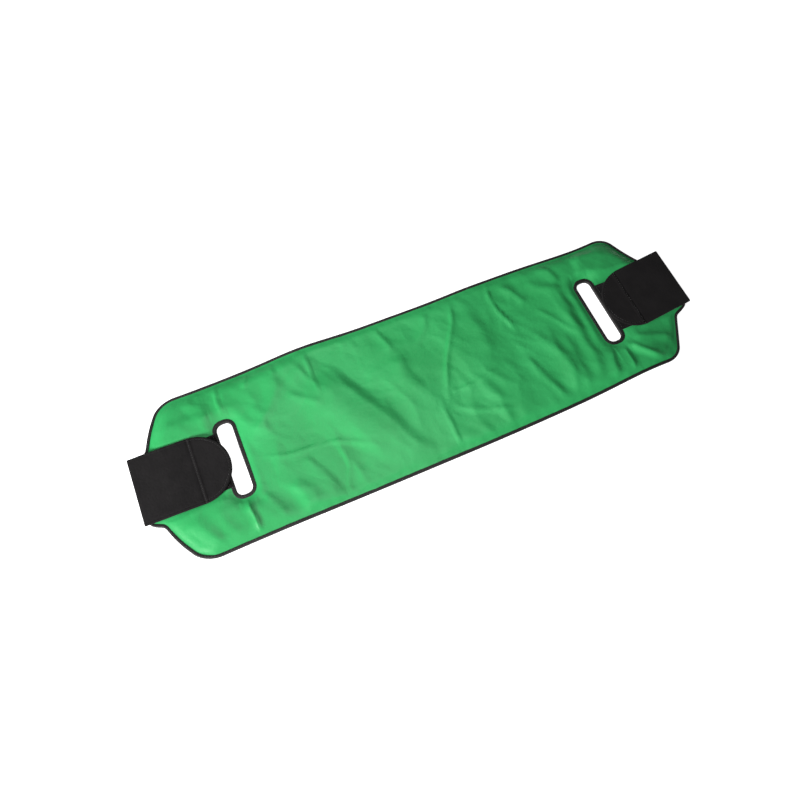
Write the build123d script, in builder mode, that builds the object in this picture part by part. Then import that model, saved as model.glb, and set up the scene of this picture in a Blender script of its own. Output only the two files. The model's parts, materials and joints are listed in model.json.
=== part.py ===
from build123d import *
import os

# Gait belt: a padded body with a hand slot near each end and, at each end, a strap
# that is folded back over the front and holds with a hook and loop tab.
# It lies flat, front face up, with the origin under the middle of its back face.
# +X runs along the belt, +Y across it and +Z out of the front face.

# Padded body, to the outside of its edge binding
body_width = 244
body_thickness = 6
shoulder_x = 369.5
shoulder_radius = 35
neck_x = 405
neck_half_width = 54
neck_radius = 11
neck_end_x = 424
neck_end_half_width = 50
neck_end_radius = 6

# Layers of the padded body
lining_thickness = 0.8
cover_thickness = 0.8

# Binding tape, folded round every raw edge
tape_thickness = 0.8
lip_thickness = 0.5
edge_lip_width = 5.5
slot_lip_width = 6

# Hand slots
slot_x = 296
slot_width = 22.5
slot_length = 110
slot_radius = 9
reinforcement_width = 16
reinforcement_thickness = 2

# Creases where the belt folds in three
crease_x = 150
crease_gap = 0.2

# Strap at each end, folded back over the front
strap_width = 100
strap_thickness = 1.8
strap_y = 2
fold_x = 433
fold_gap = 0.2
root_start_x = 400
seam_x = 350.5
seam_gap = 0.2
tab_radius = 50
tab_tip_x = {"left": 300, "right": 308}

# Hook and loop patches
loop_start_x = 313.75
loop_end_x = 398
loop_width = 84
loop_thickness = 1.1
hook_inset = 4
hook_thickness = 0.8

# Thread, as bars that stand just proud of the cloth
stitch_length = 3
stitch_width = 0.6
stitch_pitch = 4.2
thread_height = 0.15
stitch_margin = 3.5

# Heights of the layers
core_bottom = lining_thickness
core_top = body_thickness - cover_thickness
upper_lip_bottom = body_thickness - lip_thickness
loop_top = body_thickness + loop_thickness
fold_z = body_thickness + strap_thickness + fold_gap
flap_bottom = fold_z + fold_gap
flap_top = flap_bottom + strap_thickness
reinforcement_bottom = (body_thickness - reinforcement_thickness) / 2

sides = {"left": -1, "right": 1}
belt_end_x = fold_x + fold_gap + strap_thickness
half_width = body_width / 2
panels = {
    "left": (-belt_end_x, -crease_x - crease_gap / 2),
    "centre": (-crease_x + crease_gap / 2, crease_x - crease_gap / 2),
    "right": (crease_x + crease_gap / 2, belt_end_x),
}

os.makedirs("parts", exist_ok=True)


def save(piece, name):
    """Label a finished piece and write it as its own STEP file."""
    piece.part.label = name
    export_step(piece.part, f"parts/{name}.step")


def outline(inset):
    """Flat outline of the padded body, drawn in from its edge by inset."""
    quarter = [
        (shoulder_x, half_width),
        (neck_x, neck_half_width),
        (neck_end_x, neck_end_half_width),
    ]
    right_end = quarter + [(x, -y) for x, y in reversed(quarter)]
    left_end = [(-x, y) for x, y in reversed(right_end)]
    with BuildSketch() as sketch:
        with BuildLine():
            Polyline(*right_end, *left_end, close=True)
        make_face()
        shoulders = [v for v in sketch.vertices() if abs(abs(v.Y) - half_width) < 0.1]
        fillet(shoulders, shoulder_radius)
        necks = [v for v in sketch.vertices() if abs(abs(v.X) - neck_x) < 0.1]
        fillet(necks, neck_radius)
        ends = [v for v in sketch.vertices() if abs(abs(v.X) - neck_end_x) < 0.1]
        fillet(ends, neck_end_radius)
        if inset > 0:
            offset(amount=-inset)
    return sketch.sketch


def slot_shape(growth, mode):
    """Rounded hand slot, larger all round by growth."""
    width = slot_width + 2 * growth
    length = slot_length + 2 * growth
    RectangleRounded(width, length, slot_radius + growth, mode=mode)


def keep_window(start, end, low=-body_width, high=body_width):
    """Keep only what lies between two cuts along X and two limits along Y."""
    with Locations(((start + end) / 2, (low + high) / 2)):
        Rectangle(end - start, high - low, mode=Mode.INTERSECT)


def layer_sketch(height, edge_inset, slot_growth, span):
    """One layer of one panel, with the hand slots open."""
    with BuildSketch(Plane.XY.offset(height)) as sketch:
        add(outline(edge_inset))
        with Locations((-slot_x, 0), (slot_x, 0)):
            slot_shape(slot_growth, Mode.SUBTRACT)
        keep_window(*span)
    return sketch.sketch


def edge_band(height, width, window):
    """Band of the given width along the body's edge, inside a window."""
    with BuildSketch(Plane.XY.offset(height)) as sketch:
        add(outline(0))
        add(outline(width), mode=Mode.SUBTRACT)
        keep_window(*window)
    return sketch.sketch


def slot_band(height, inner_growth, outer_growth, x):
    """Band round one hand slot."""
    with BuildSketch(Plane.XY.offset(height)) as sketch:
        with Locations((x, 0)):
            slot_shape(outer_growth, Mode.ADD)
            slot_shape(inner_growth, Mode.SUBTRACT)
    return sketch.sketch


def across(x_from, x_to, width, height):
    """Rectangle between two X positions, centred on the strap."""
    with BuildSketch(Plane.XY.offset(height)) as sketch:
        with Locations(((x_from + x_to) / 2, strap_y)):
            Rectangle(abs(x_to - x_from), width)
    return sketch.sketch


def stitch_row(points, height):
    """Thread bars from point to point, each run with its own even pitch."""
    for (x0, y0), (x1, y1) in zip(points, points[1:]):
        run = Vector(x1 - x0, y1 - y0)
        count = max(2, round(run.length / stitch_pitch))
        turn = Vector(1, 0).get_signed_angle(run)
        spots = []
        for i in range(count):
            share = (i + 0.5) / count
            spots.append(Location((x0 + share * run.X, y0 + share * run.Y, height), (0, 0, turn)))
        with Locations(*spots):
            Box(stitch_length, stitch_width, thread_height, align=(Align.CENTER, Align.CENTER, Align.MIN))


# The padded body in three panels: front cover, foam core and back lining
for panel, span in panels.items():
    with BuildPart() as front_cover:
        extrude(
            layer_sketch(core_top, tape_thickness, tape_thickness, span),
            amount=cover_thickness - lip_thickness,
        )
        extrude(layer_sketch(upper_lip_bottom, edge_lip_width, slot_lip_width, span), amount=lip_thickness)
    save(front_cover, f"front_cover_{panel}")

    with BuildPart() as foam_core:
        extrude(
            layer_sketch(core_bottom, tape_thickness, tape_thickness, span),
            amount=core_top - core_bottom,
        )
        if panel in sides:
            pocket = slot_band(reinforcement_bottom, 0, reinforcement_width, sides[panel] * slot_x)
            extrude(pocket, amount=reinforcement_thickness, mode=Mode.SUBTRACT)
    save(foam_core, f"foam_core_{panel}")

    with BuildPart() as back_lining:
        extrude(layer_sketch(0, edge_lip_width, slot_lip_width, span), amount=lip_thickness)
        extrude(
            layer_sketch(lip_thickness, tape_thickness, tape_thickness, span),
            amount=lining_thickness - lip_thickness,
        )
    save(back_lining, f"back_lining_{panel}")

# Edge binding: one folded tape along each stretch of edge
edge_windows = {
    "left": panels["left"],
    "right": panels["right"],
    "top": panels["centre"] + (0, body_width),
    "bottom": panels["centre"] + (-body_width, 0),
}
for stretch, window in edge_windows.items():
    with BuildPart() as edge_binding:
        extrude(edge_band(0, tape_thickness, window), amount=body_thickness)
        extrude(edge_band(0, edge_lip_width, window), amount=lip_thickness)
        extrude(edge_band(upper_lip_bottom, edge_lip_width, window), amount=lip_thickness)
    save(edge_binding, f"edge_binding_{stretch}")

# Everything at the two ends
for side, sign in sides.items():
    with BuildPart() as slot_reinforcement:
        ring = slot_band(reinforcement_bottom, tape_thickness, reinforcement_width, sign * slot_x)
        extrude(ring, amount=reinforcement_thickness)
    save(slot_reinforcement, f"slot_reinforcement_{side}")

    with BuildPart() as slot_binding:
        extrude(slot_band(0, 0, tape_thickness, sign * slot_x), amount=body_thickness)
        extrude(slot_band(0, 0, slot_lip_width, sign * slot_x), amount=lip_thickness)
        extrude(slot_band(upper_lip_bottom, 0, slot_lip_width, sign * slot_x), amount=lip_thickness)
    save(slot_binding, f"slot_binding_{side}")

    # Loop patch on the front cover, under the tab
    with BuildPart() as loop_patch:
        extrude(
            across(sign * loop_start_x, sign * loop_end_x, loop_width, body_thickness),
            amount=loop_thickness,
        )
    save(loop_patch, f"loop_patch_{side}")

    patch_near = sign * (loop_start_x + stitch_margin)
    patch_far = sign * (loop_end_x - stitch_margin)
    patch_half = loop_width / 2 - stitch_margin
    with BuildPart() as loop_patch_stitches:
        corners = [
            (patch_near, strap_y - patch_half),
            (patch_near, strap_y + patch_half),
            (patch_far, strap_y + patch_half),
            (patch_far, strap_y - patch_half),
            (patch_near, strap_y - patch_half),
        ]
        stitch_row(corners, loop_top)
    save(loop_patch_stitches, f"loop_patch_stitches_{side}")

    # Strap root, sewn to the neck with two rows across it
    with BuildPart() as strap_root:
        extrude(
            across(sign * root_start_x, sign * fold_x, strap_width, body_thickness),
            amount=strap_thickness,
        )
    save(strap_root, f"strap_root_{side}")

    root_half = strap_width / 2 - stitch_margin
    with BuildPart() as strap_root_stitches:
        for row_x in (root_start_x + stitch_margin, neck_end_x - 2 * stitch_margin):
            row = [(sign * row_x, strap_y - root_half), (sign * row_x, strap_y + root_half)]
            stitch_row(row, body_thickness + strap_thickness)
    save(strap_root_stitches, f"strap_root_stitches_{side}")

    # Fold, where the strap turns back on itself
    with BuildPart() as strap_fold:
        with BuildSketch(Plane.XZ.offset(-strap_y - strap_width / 2)) as fold_profile:
            with Locations((sign * fold_x, fold_z)):
                Circle(fold_gap + strap_thickness)
                Circle(fold_gap, mode=Mode.SUBTRACT)
            with Locations((sign * (fold_x + strap_width / 2), fold_z)):
                Rectangle(strap_width, strap_width, mode=Mode.INTERSECT)
        extrude(amount=strap_width)
    save(strap_fold, f"strap_fold_{side}")

    # Flap, the stretch of strap from the fold to the seam
    with BuildPart() as strap_flap:
        flap_start = sign * (fold_x - fold_gap)
        flap_end = sign * (seam_x + seam_gap / 2)
        extrude(across(flap_start, flap_end, strap_width, flap_bottom), amount=strap_thickness)
    save(strap_flap, f"strap_flap_{side}")

    # Tab, a round end sewn on at the seam, with the hook patch under it
    tab_centre_x = sign * (tab_tip_x[side] + tab_radius)
    tab_start = sign * (seam_x - seam_gap / 2)
    with BuildPart() as strap_tab:
        with BuildSketch(Plane.XY.offset(flap_bottom)):
            with Locations((tab_centre_x, strap_y)):
                Circle(tab_radius)
            with Locations((tab_start - sign * tab_radius, strap_y)):
                Rectangle(2 * tab_radius, strap_width, mode=Mode.INTERSECT)
        extrude(amount=strap_thickness)
    save(strap_tab, f"strap_tab_{side}")

    with BuildPart() as hook_patch:
        with BuildSketch(Plane.XY.offset(flap_bottom - hook_thickness)):
            with Locations((tab_centre_x, strap_y)):
                Circle(tab_radius - hook_inset)
            with Locations((tab_start - sign * (tab_radius + hook_inset), strap_y)):
                Rectangle(2 * tab_radius, strap_width, mode=Mode.INTERSECT)
        extrude(amount=hook_thickness)
    save(hook_patch, f"hook_patch_{side}")

    seam_half = strap_width / 2 - stitch_margin
    seam_row_x = tab_start - sign * stitch_margin / 2
    with BuildPart() as tab_seam_stitches:
        stitch_row([(seam_row_x, strap_y - seam_half), (seam_row_x, strap_y + seam_half)], flap_top)
    save(tab_seam_stitches, f"tab_seam_stitches_{side}")

print(f"belt {2 * belt_end_x:.1f} x {body_width} x {flap_top + thread_height:.2f} mm")
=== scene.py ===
import json
import math
import bpy
import bmesh
import numpy as np
from mathutils import Matrix, Vector, noise
from mathutils.kdtree import KDTree


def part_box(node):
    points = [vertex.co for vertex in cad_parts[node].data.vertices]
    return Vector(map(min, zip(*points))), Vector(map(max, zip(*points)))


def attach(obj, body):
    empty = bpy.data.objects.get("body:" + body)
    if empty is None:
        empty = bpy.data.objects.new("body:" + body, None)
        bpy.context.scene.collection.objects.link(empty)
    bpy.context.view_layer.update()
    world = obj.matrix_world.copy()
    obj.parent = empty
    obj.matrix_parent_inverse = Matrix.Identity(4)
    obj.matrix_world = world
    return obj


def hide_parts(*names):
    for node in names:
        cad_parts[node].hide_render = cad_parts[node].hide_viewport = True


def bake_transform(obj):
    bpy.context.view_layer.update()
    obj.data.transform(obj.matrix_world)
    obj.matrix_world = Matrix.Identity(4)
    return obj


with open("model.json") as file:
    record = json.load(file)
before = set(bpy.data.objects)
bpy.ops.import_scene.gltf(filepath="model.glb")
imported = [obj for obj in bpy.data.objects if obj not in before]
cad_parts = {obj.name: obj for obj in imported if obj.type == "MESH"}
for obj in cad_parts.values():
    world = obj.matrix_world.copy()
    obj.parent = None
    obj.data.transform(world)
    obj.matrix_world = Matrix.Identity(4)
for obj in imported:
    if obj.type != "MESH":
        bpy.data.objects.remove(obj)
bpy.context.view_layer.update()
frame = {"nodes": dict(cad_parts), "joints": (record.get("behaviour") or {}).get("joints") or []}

# Gait belt lying flat, front up. Metres. x along the belt, y across it, z up.
mm = 0.001
ends = {"left": -1, "right": 1}

# places taken from the frame
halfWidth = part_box("edge_binding_top")[1].y
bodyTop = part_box("edge_binding_top")[1].z
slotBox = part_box("slot_binding_right")
slotX = (slotBox[0].x + slotBox[1].x) / 2

bodyCut = {
    "shoulderX": 0.3695, "shoulderRadius": 0.035,
    "neckX": 0.405, "neckHalf": 0.054, "neckRadius": 0.011,
    "neckEndX": 0.424, "neckEndHalf": 0.050, "neckEndRadius": 0.006,
}
slotCut = {"width": 0.0225, "length": 0.110, "radius": 0.009}


# small helpers
def smooth(t):
    t = np.clip(t, 0, 1)
    return t * t * (3 - 2 * t)


def ease(t):
    # the same for a single number
    return float(smooth(np.array(t)))


def makeMesh(name, points, faces, material, uv=None):
    mesh = bpy.data.meshes.new(name)
    mesh.from_pydata([tuple(p) for p in points], [], [tuple(f) for f in faces])
    mesh.update()
    if uv is not None:
        layer = mesh.uv_layers.new(name="cloth")
        index = np.zeros(len(mesh.loops), int)
        mesh.loops.foreach_get("vertex_index", index)
        layer.data.foreach_set("uv", np.asarray(uv)[index].astype(np.float32).ravel())
    mesh.polygons.foreach_set("use_smooth", [True] * len(mesh.polygons))
    mesh.materials.append(material)
    piece = bpy.data.objects.new(name, mesh)
    bpy.context.scene.collection.objects.link(piece)
    return piece


def flatSquare(halfLong, halfWide, z):
    return [(a * halfLong, b * halfWide, z) for a, b in ((-1, -1), (1, -1), (1, 1), (-1, 1))]


def outward(piece):
    # turn every face of a closed mesh outwards
    work = bmesh.new()
    work.from_mesh(piece.data)
    bmesh.ops.recalc_face_normals(work, faces=work.faces)
    work.to_mesh(piece.data)
    work.free()
    piece.data.set_sharp_from_angle(angle=math.radians(50))
    return piece


def roundedPath(corners, radii, step):
    # straight runs joined by arcs, as evenly spaced points
    corners = [Vector(c) for c in corners]
    line = [corners[0]]
    for before, corner, after, radius in zip(corners, corners[1:], corners[2:], radii):
        a, b = (before - corner).normalized(), (after - corner).normalized()
        half = a.angle(b) / 2
        if radius <= 0 or abs(half - math.pi / 2) < 1e-4:
            line.append(corner)
            continue
        reach = radius / math.tan(half)
        centre = corner + (a + b).normalized() * (radius / math.sin(half))
        first, last = corner + a * reach - centre, corner + b * reach - centre
        sweep = first.angle_signed(last)
        for i in range(13):
            line.append(centre + Matrix.Rotation(-sweep * i / 12, 2) @ first)
    line.append(corners[-1])
    line = np.array([tuple(p) for p in line])
    run = np.r_[0, np.cumsum(np.linalg.norm(np.diff(line, axis=0), axis=1))]
    count = max(2, round(run[-1] / step))
    at = np.linspace(0, run[-1], count + 1)
    return np.c_[np.interp(at, run, line[:, 0]), np.interp(at, run, line[:, 1])]


def pathNormals(path, closed=False):
    # unit normals to the right of travel
    if closed:
        ahead = np.roll(path, -1, axis=0) - np.roll(path, 1, axis=0)
    else:
        ahead = np.gradient(path, axis=0)
    ahead /= np.linalg.norm(ahead, axis=1)[:, None]
    return np.c_[ahead[:, 1], -ahead[:, 0]]


def bodyPath(step=0.0025):
    # edge of the right half, from the middle of the top edge round to the middle of the bottom edge
    c = bodyCut
    upper = [
        (c["shoulderX"], halfWidth, c["shoulderRadius"]),
        (c["neckX"], c["neckHalf"], c["neckRadius"]),
        (c["neckEndX"], c["neckEndHalf"], c["neckEndRadius"]),
    ]
    corners = upper + [(x, -y, r) for x, y, r in reversed(upper)]
    line = [(0, halfWidth)] + [(x, y) for x, y, r in corners] + [(0, -halfWidth)]
    return roundedPath(line, [r for x, y, r in corners], step)


def slotPath(growth=0.0, step=0.0025):
    # closed loop round the right hand slot, starting in the middle of its inner side
    w, l, r = slotCut["width"] / 2 + growth, slotCut["length"] / 2 + growth, slotCut["radius"] + growth
    corners = [(-w, 0), (-w, l), (w, l), (w, -l), (-w, -l), (-w, 0)]
    return roundedPath(corners, [r] * 4, step)[:-1] + np.array([slotX, 0])


edgeLine = bodyPath(0.001)
edgeTree = KDTree(len(edgeLine))
for number, spot in enumerate(edgeLine):
    edgeTree.insert((spot[0], spot[1], 0), number)
edgeTree.balance()


def edgeDistance(x, y):
    flat = np.array([edgeTree.find((abs(a), b, 0))[2] for a, b in zip(x.ravel(), y.ravel())])
    return flat.reshape(x.shape)


def slotDistance(x, y):
    # distance outside the rounded hand slot
    r = slotCut["radius"]
    dx = np.abs(np.abs(x) - slotX) - (slotCut["width"] / 2 - r)
    dy = np.abs(y) - (slotCut["length"] / 2 - r)
    return np.hypot(np.maximum(dx, 0), np.maximum(dy, 0)) + np.minimum(np.maximum(dx, dy), 0) - r


def cloudy(x, y, scale, seed, stretch=1.0):
    # soft noise from -1 to 1, one value per point
    out = [
        noise.noise(Vector((a / scale, b / scale / stretch, seed)))
        for a, b in zip(x.ravel(), y.ravel())
    ]
    return np.array(out).reshape(x.shape)


# how the padded body lies
lieValues = {
    # where the whole body stands off the floor: x, y, reach along, reach across, height (mm)
    "lifts": [
        (-150, 132, 62, 48, 6.0),
        (-20, 134, 60, 30, 1.6),
        (120, 132, 46, 34, 2.6),
        (305, -140, 62, 44, 5.0),
        (-20, -136, 70, 36, 1.6),
        (-250, -136, 46, 34, 2.0),
        (290, 132, 50, 30, 1.8),
    ],
    # where the edge lies off its cut, in plan: x, y, reach along, reach across, move along, move across (mm)
    "shifts": [
        (80, 0, 190, 400, 0, -2.8),
        (-395, 90, 42, 60, -7.5, 2.5),
        (-395, -85, 48, 60, -10.0, -1.6),
        (-430, -49, 13, 10, -2.0, 6.5),
        (430, -49, 13, 10, 7.0, 8.0),
        (312, 140, 80, 70, 0, -8.0),
        (394, 76, 30, 34, -3.0, 0),
        (330, -140, 85, 60, 0, 4.5),
        (-160, 125, 75, 45, 0, 2.2),
        (-80, -130, 210, 50, 0, -1.6),
    ],
    "rimThickness": 4.3,     # mm, where the binding nips the padding
    "padThickness": 6.2,
    "rimReach": 8.0,
}


def liftAt(x, y):
    total = np.zeros_like(x)
    for cx, cy, rx, ry, height in lieValues["lifts"]:
        total += height * np.exp(-((x / mm - cx) / rx) ** 2 - ((y / mm - cy) / ry) ** 2)
    # nothing lifts under the straps
    strap = smooth((np.abs(x) - 0.300) / 0.05) * smooth((0.075 - np.abs(y)) / 0.02)
    return total * mm * (1 - strap)


def settle(piece):
    # moves a finished piece of the body sideways, to how the soft cut really lies
    count = len(piece.data.vertices)
    co = np.zeros(count * 3)
    piece.data.vertices.foreach_get("co", co)
    co = co.reshape(-1, 3)
    x, y = co[:, 0] / mm, co[:, 1] / mm
    shift = np.zeros((count, 2))
    for cx, cy, rx, ry, dx, dy in lieValues["shifts"]:
        near = np.exp(-((x - cx) / rx) ** 2 - ((y - cy) / ry) ** 2)
        shift += near[:, None] * np.array([dx, dy])
    slotHeld = smooth((np.abs(x) - 262) / 22) * smooth((350 - np.abs(x)) / 30) * smooth((76 - np.abs(y)) / 16)
    strapHeld = smooth((np.abs(x) - 318) / 20) * smooth((44 - np.abs(y)) / 5)
    co[:, :2] += shift * mm * (1 - np.maximum(slotHeld, strapHeld))[:, None]
    piece.data.vertices.foreach_set("co", co.ravel())
    piece.data.update()
    return piece


def rimShare(x, y):
    # 0 at a bound edge, 1 well inside
    v = lieValues
    d = np.minimum(edgeDistance(x, y), np.maximum(slotDistance(x, y), 0) + 0.001)
    return 1 - np.exp(-np.maximum(d - 0.0042, 0) / (v["rimReach"] * mm))


def padAt(x, y):
    v = lieValues
    return (v["rimThickness"] + (v["padThickness"] - v["rimThickness"]) * rimShare(x, y)) * mm


# folds in the front cover
# each fold: the line it follows (mm), its reach to the left and right of travel, its height, its sharpness
coverFolds = [
    # long band from the top left to the bottom middle, with a keen edge on its right
    ([(-138, 92), (-112, 44), (-92, 4), (-74, -34), (-54, -72), (-22, -106)], 11, 40, 0.72, 0.25),
    ([(-150, 70), (-136, 20), (-112, -24), (-80, -64)], 22, 26, 0.55, 0.0),
    ([(-214, 104), (-206, 74), (-226, 44), (-262, 18)], 8, 14, 0.50, 0.3),
    ([(-196, 60), (-170, 44), (-150, 26)], 6, 9, 0.35, 0.5),
    # pressed creases across the belt
    ([(-150, 118), (-151, 92), (-154, 66), (-150, 38)], 3, 5, 0.28, 0.9),
    ([(-166, 98), (-158, 78), (-150, 58)], 3, 6, 0.20, 0.7),
    ([(-155, -34), (-152, -70), (-160, -98), (-154, -116)], 4, 6, 0.36, 0.8),
    ([(88, 108), (74, 72), (54, 34), (34, 2), (18, -28)], 7, 4, 0.46, 0.85),
    ([(18, -44), (46, -66), (78, -82), (110, -92)], 6, 4, 0.30, 0.7),
    ([(6, -40), (10, -74), (6, -112)], 3, 6, 0.34, 0.85),
    ([(154, 116), (151, 88), (154, 56), (161, 18)], 4, 6, 0.40, 0.8),
    ([(-287, 119), (-290, 94), (-291, 64)], 3, 5, 0.40, 0.9),
    ([(-296, -62), (-294, -92), (-296, -118)], 4, 7, 0.62, 0.7),
    ([(-205, 120), (-202, 106), (-200, 92)], 3, 4, 0.35, 0.8),
    ([(-238, 119), (-242, 104), (-250, 90)], 3, 5, 0.30, 0.6),
    # pressed creases along it
    ([(-262, -12), (-226, -24), (-190, -28), (-152, -36), (-118, -52), (-96, -66)], 3, 5, 0.34, 0.85),
    ([(18, -26), (60, -30), (112, -24)], 3, 5, 0.22, 0.85),
    ([(-252, 62), (-236, 40), (-240, 12)], 7, 10, 0.35, 0.3),
    # folds between the middle and the right hand slot
    ([(152, -14), (160, -46), (172, -78), (184, -112)], 7, 12, 0.26, 0.2),
    ([(178, 18), (198, -14), (208, -50), (204, -84), (196, -114)], 9, 16, 0.46, 0.2),
    ([(204, 44), (222, 18), (238, -4), (250, -18)], 4, 6, 0.26, 0.7),
    ([(224, -2), (229, -36), (222, -76), (214, -114)], 8, 14, 0.40, 0.2),
    ([(254, 46), (247, 14), (252, -26), (248, -66), (238, -108)], 9, 15, 0.46, 0.2),
    ([(282, -62), (272, -84), (262, -114)], 5, 9, 0.44, 0.3),
    ([(262, 84), (264, 40), (262, 0), (264, -58)], 9, 9, -0.42, 0.0),
    ([(168, 104), (184, 88), (202, 58)], 6, 10, 0.42, 0.3),
    ([(238, 112), (252, 98), (262, 70)], 5, 9, 0.40, 0.4),
    ([(206, 98), (230, 74), (262, 58), (280, 62)], 7, 10, 0.40, 0.2),
    ([(306, -60), (318, -82), (336, -104), (352, -114)], 4, 8, 0.62, 0.5),
    ([(300, -66), (296, -90), (292, -114)], 4, 7, 0.45, 0.5),
    ([(318, -58), (346, -72), (378, -84)], 6, 9, 0.42, 0.3),
    ([(296, 62), (304, 86), (318, 116)], 8, 62, 0.72, 0.15),
    ([(330, 62), (350, 82), (364, 90)], 8, 14, 0.12, 0.2),
    ([(345, -116), (328, -88), (314, -62)], 6, 52, 0.72, 0.2),
    # folds at the left end
    ([(-366, -58), (-356, -82), (-344, -114)], 9, 14, 0.42, 0.1),
    ([(-334, -60), (-330, -86), (-318, -112)], 7, 9, 0.26, 0.2),
    ([(-276, -66), (-262, -92), (-250, -108)], 8, 14, 0.26, 0.2),
    ([(-398, 66), (-362, 78), (-322, 74), (-306, 62)], 8, 12, 0.34, 0.1),
    ([(-340, 112), (-322, 92), (-312, 66)], 7, 12, 0.34, 0.2),
    ([(-204, -36), (-190, -66), (-176, -104)], 9, 13, 0.32, 0.15),
    ([(-236, -62), (-214, -84), (-206, -112)], 8, 12, 0.34, 0.2),
    # the middle
    ([(-36, 116), (-30, 92), (-26, 66)], 4, 8, 0.32, 0.5),
    ([(-20, 60), (-26, 20), (-16, -16)], 10, 14, 0.34, 0.0),
    ([(104, 88), (112, 40), (104, -4)], 10, 16, 0.34, 0.0),
    ([(44, 108), (34, 84), (10, 62)], 6, 10, 0.30, 0.3),
    ([(74, -30), (90, -62), (84, -110)], 8, 12, 0.30, 0.2),
]


def foldHeight(x, y, line, left, right, height, sharp):
    px, py = x / mm, y / mm
    # a fold is never quite straight
    px = px + 2.2 * np.sin(py / 17.0 + line[0][0])
    py = py + 1.6 * np.sin(px / 19.0 + line[0][1])
    best = np.full(x.shape, 1e9)
    side = np.zeros(x.shape)
    share = np.zeros(x.shape)
    runs = [math.dist(a, b) for a, b in zip(line, line[1:])]
    done = 0.0
    for (ax, ay), (bx, by), run in zip(line, line[1:], runs):
        ux, uy = (bx - ax) / run, (by - ay) / run
        along = np.clip((px - ax) * ux + (py - ay) * uy, 0, run)
        dx, dy = px - ax - along * ux, py - ay - along * uy
        d = np.hypot(dx, dy)
        nearer = d < best
        best = np.where(nearer, d, best)
        side = np.where(nearer, ux * dy - uy * dx, side)
        share = np.where(nearer, (done + along) / sum(runs), share)
        done += run
    reach = np.where(side > 0, left, right)
    soft = np.exp(-(best / reach) ** 2)
    keen = np.exp(-best / (0.55 * reach))
    fade = smooth(share / 0.22) * smooth((1 - share) / 0.22) * 0.85 + 0.15
    return height * (soft * (1 - sharp) + keen * sharp) * fade


def puckers(x, y, rim):
    # short gathers that run in from the bound edges
    along = cloudy(x, y, 0.010, 3.7, 5.0) + 0.6 * cloudy(x, y, 0.021, 9.1, 4.0)
    return along * np.exp(-rim / 0.013) * (1 - np.exp(-rim / 0.003))


foldValues = {
    "height": 6.4,           # how much every fold above is raised
    "swell": 6.0,            # mm, wide soft waves
    "ripple": 1.9,           # mm, narrower waves with keen tops
    "tallest": 9.0,
    "crumple": 0.55,
    "fine": 0.16,
    "rise": 1.3,             # mm, cover above the padding between the folds
}


def ridged(x, y, scale, seed, stretch=1.0):
    return 1 - 2.2 * np.abs(cloudy(x, y, scale, seed, stretch))


def foldsAt(x, y):
    # everything that stands up from the smooth cover, in metres
    v = foldValues
    rim = np.minimum(edgeDistance(x, y), np.maximum(slotDistance(x, y), 0))
    folds = np.zeros_like(x)
    for fold in coverFolds:
        folds += v["height"] * foldHeight(x, y, *fold)
    # waves are bent by a wider wave, so they never run straight
    wx = x + 0.016 * cloudy(x, y, 0.060, 11.5) + 0.30 * y
    wy = y + 0.016 * cloudy(x, y, 0.060, 23.5)
    folds += v["swell"] * cloudy(wx, wy, 0.088, 1.3, 1.5)
    patch = smooth(0.5 + 1.4 * cloudy(x, y, 0.090, 31.2))
    folds += v["ripple"] * patch * (ridged(wx, wy, 0.042, 5.2, 2.2) - 0.5)
    folds += v["crumple"] * (ridged(wx + 0.2 * wy, wy, 0.021, 15.8, 1.6) - 0.5)
    folds += v["fine"] * cloudy(wx, wy, 0.011, 7.9, 1.5)
    folds = v["tallest"] * np.tanh(folds / v["tallest"])
    calm = smooth((rim - 0.0058) / 0.018)
    underStrap = smooth((np.abs(x) - 0.306) / 0.012) * smooth((0.056 - np.abs(y - 0.002)) / 0.012)
    gathers = 0.8 * puckers(x, y, rim)
    return (folds * calm + gathers + v["rise"] * calm) * (1 - underStrap) * mm, underStrap


def coverAt(x, y):
    folds, underStrap = foldsAt(x, y)
    smoothTop = liftAt(x, y) + padAt(x, y) - 0.0003
    top = np.maximum(smoothTop + folds, smoothTop - 0.0012 + 0.15 * folds)
    flat = bodyTop - 0.0004
    return np.where(underStrap > 0.02, np.minimum(top, flat + (1 - underStrap) * 0.004), top)


def liningAt(x, y):
    return liftAt(x, y) + 0.0004 + 0.0002 * (1 + cloudy(x, y, 0.025, 4.4))


# grids that follow the cut of the body
def slotHalf(x, growth):
    # half the length of the opening at x; past its corners the straight side's half length
    w, l, r = slotCut["width"] / 2 + growth, slotCut["length"] / 2 + growth, slotCut["radius"] + growth
    d = w - abs(x - slotX)
    if d <= 0:
        return l - r
    return l - r + math.sqrt(max(0.0, r * r - max(0.0, r - d) ** 2))


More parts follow.
